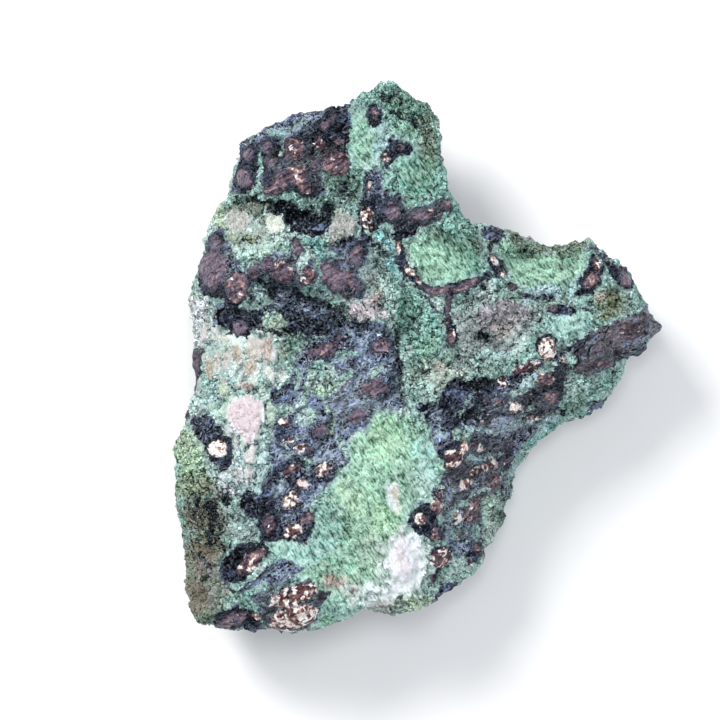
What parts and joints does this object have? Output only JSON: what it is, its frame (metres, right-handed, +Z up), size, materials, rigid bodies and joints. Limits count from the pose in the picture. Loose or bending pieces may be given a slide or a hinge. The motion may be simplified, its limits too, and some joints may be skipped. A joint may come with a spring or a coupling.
{
  "type": "nickeline specimen",
  "caption": "Broken slab of nickel ore with dark nodules, copper-red cores and pale green bloom, flat on its back.",
  "frame": {"origin": "centre of the footprint, on the plane that the specimen rests on", "axes": "+Z up out of the rich face, +Y towards the top lobe, +X towards the side arm"},
  "size_m": [0.0688, 0.0776, 0.027],
  "materials": {
    "ore": "rough broken rock: dark metallic ore, copper-red cores, apple-green bloom, pale gangue"
  },
  "bodies": {
    "root": {"nickeline_specimen": "ore"}
  },
  "joints": []
}
